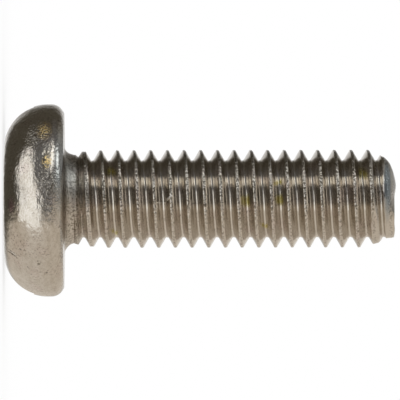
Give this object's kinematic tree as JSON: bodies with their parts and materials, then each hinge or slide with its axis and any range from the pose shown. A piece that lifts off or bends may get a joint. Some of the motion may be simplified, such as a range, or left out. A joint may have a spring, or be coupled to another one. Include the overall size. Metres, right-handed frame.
{
  "type": "machine screw",
  "caption": "Slotted pan head machine screw with a right-hand metric coarse thread run up to a short neck under the domed head.",
  "frame": {"origin": "centre of the ring-shaped bearing face under the head", "axes": "+Z along the shank from the head to the tip; the driver slot runs along X. The screw stands upside down, on the flat top of its head"},
  "size_m": [0.0116, 0.0116, 0.0235],
  "materials": {
    "stainless_steel": "cold headed and thread rolled, bright but slightly mottled, with small pits and scratches"
  },
  "bodies": {
    "root": {"machine_screw": "stainless_steel"}
  },
  "joints": []
}
